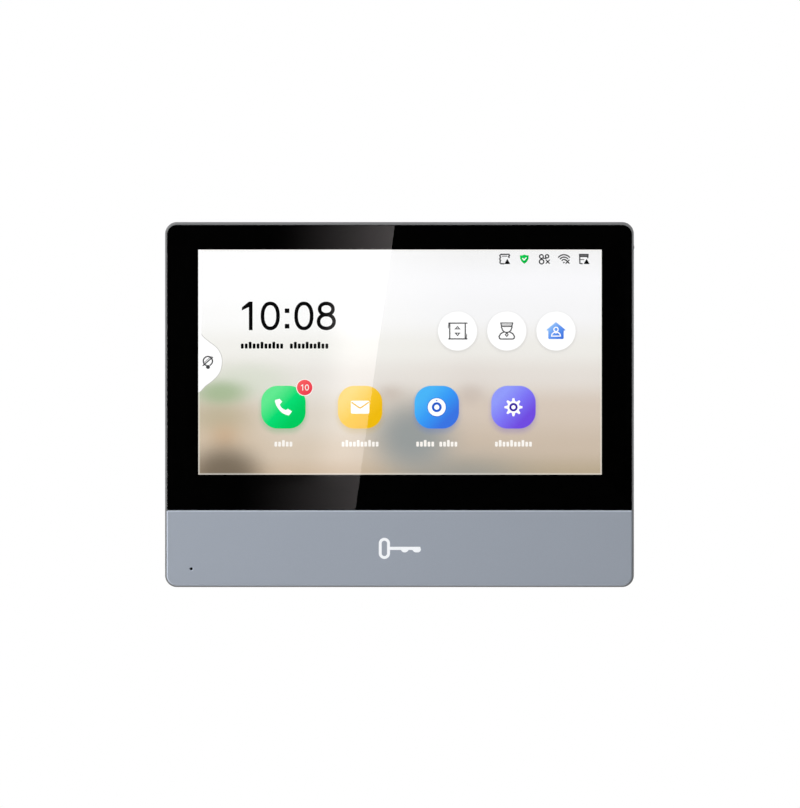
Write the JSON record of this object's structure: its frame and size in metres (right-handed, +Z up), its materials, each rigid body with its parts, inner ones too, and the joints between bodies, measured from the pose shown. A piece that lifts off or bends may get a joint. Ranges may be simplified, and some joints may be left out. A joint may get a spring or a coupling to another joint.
{
  "type": "video intercom monitor",
  "caption": "Flat wall-hung indoor intercom station with a glass-fronted touch display, a lit touch key in the lower trim and a hook-on steel wall plate.",
  "frame": {"origin": "centre of the wall plate's wall-box screw slots, on the wall surface; the case is centred on it", "axes": "+X to the right as the user sees the screen, +Z up, +Y into the wall, so the screen faces -Y"},
  "size_m": [0.1787, 0.022, 0.139],
  "materials": {
    "amber_ribbon": "polyimide film",
    "anodised_aluminium": "anodised",
    "black_film": "printed black",
    "black_foam": "soft foam",
    "black_package": "moulded epoxy",
    "black_plastic": "moulded",
    "black_rubber": "matt",
    "black_steel": "black oxide",
    "clear_glass": "polished, clear",
    "cone_film": "thin film",
    "copper": "enamelled copper wire",
    "dark_cover": "fine spark texture",
    "dark_door": "soft matt",
    "galvanised_steel": "galvanised sheet",
    "gold_contact": "gold plated",
    "green_board": "green solder mask",
    "green_plastic": "moulded",
    "grey_frame": "fine texture, metallic grey",
    "grey_pad": "soft silicone",
    "grey_trim": "satin blue-grey",
    "ivory_plastic": "moulded",
    "lcd_picture": "lit picture",
    "light_guide": "clear acrylic",
    "milky_lens": "translucent white",
    "nickel_can": "nickel plated",
    "pressed_steel": "pressed sheet",
    "red_lead": "insulated wire",
    "spring_steel": "spring strip",
    "touch_glass": "clear",
    "white_circuit": "white solder mask",
    "white_lead": "insulated wire",
    "zinc_steel": "zinc plated"
  },
  "bodies": {
    "wall_plate": {"wall_plate": "galvanised_steel", "catch_clamp": "zinc_steel"},
    "spring_catch": {"spring_catch": "spring_steel"},
    "monitor": {"cover_glass": "clear_glass", "bezel_film": "black_film", "touch_sensor": "touch_glass", "display_gasket": "black_foam", "lcd_panel": "lcd_picture", "light_guide": "light_guide", "led_strip": "white_circuit", "lcd_tray": "pressed_steel", "touch_ribbon": "amber_ribbon", "display_ribbon": "amber_ribbon", "cable_sockets": "ivory_plastic", "front_frame": "grey_frame", "lower_trim": "grey_trim", "key_icon_lens": "milky_lens", "key_light_guide": "light_guide", "key_leds": "milky_lens", "touch_key_board": "green_board", "board_screws": "zinc_steel", "microphone": "nickel_can", "microphone_boot": "black_rubber", "speaker_basket": "pressed_steel", "speaker_surround": "black_rubber", "speaker_magnet": "zinc_steel", "main_board": "green_board", "processor": "black_package", "thermal_pad": "grey_pad", "heat_sink": "anodised_aluminium", "memory_chips": "black_package", "power_inductors": "black_package", "capacitors": "nickel_can", "coin_cell_holder": "black_plastic", "coin_cell": "nickel_can", "wifi_module": "nickel_can", "wifi_antenna": "amber_ribbon", "antenna_cable": "black_rubber", "microphone_lead": "white_lead", "key_board_lead": "white_lead", "speaker_lead": "red_lead", "rj45_jack": "nickel_can", "rj45_contacts": "gold_contact", "io_header": "green_plastic", "power_header": "green_plastic", "header_pins": "gold_contact", "usb_socket": "nickel_can", "card_socket": "nickel_can", "reset_switch": "black_plastic", "rear_cover": "dark_cover", "case_screws": "black_steel"},
    "io_plug": {"io_plug": "green_plastic", "io_plug_screws": "zinc_steel"},
    "power_plug": {"power_plug": "green_plastic", "power_plug_screws": "zinc_steel"},
    "memory_card": {"memory_card": "black_plastic"},
    "card_door": {"card_door": "dark_door"},
    "reset_button": {"reset_button": "ivory_plastic"},
    "speaker_cone": {"speaker_dome": "cone_film", "voice_coil": "copper"}
  },
  "joints": [
    {"name": "lift_off", "type": "slide", "parent": "wall_plate", "child": "monitor", "axis": [0, 0, 1], "range_m": [0, 0.007]},
    {"name": "catch_flex", "type": "hinge", "parent": "wall_plate", "child": "spring_catch", "pos_m": [0.031, -0.0015, 0.041], "axis": [1, 0, 0], "range_deg": [0, 5.5]},
    {"name": "io_plug_pull", "type": "slide", "parent": "monitor", "child": "io_plug", "axis": [0, 0, -1], "range_m": [0, 0.008]},
    {"name": "power_plug_pull", "type": "slide", "parent": "monitor", "child": "power_plug", "axis": [0, 0, -1], "range_m": [0, 0.008]},
    {"name": "card_push", "type": "slide", "parent": "monitor", "child": "memory_card", "axis": [1, 0, 0], "range_m": [-0.0008, 0.0022]},
    {"name": "door_hinge", "type": "hinge", "parent": "monitor", "child": "card_door", "pos_m": [0.08795, -0.0107, 0.0313], "axis": [0, 1, 0], "range_deg": [0, 95]},
    {"name": "reset_press", "type": "slide", "parent": "monitor", "child": "reset_button", "axis": [-1, 0, 0], "range_m": [0, 0.00025]},
    {"name": "cone_move", "type": "slide", "parent": "monitor", "child": "speaker_cone", "axis": [0, 1, 0], "range_m": [-0.0004, 0.0004], "stiffness_N_per_m": 25}
  ],
  "couplings": [
    {"joint": "catch_flex", "follows": "lift_off", "rad_per_m": 13}
  ]
}
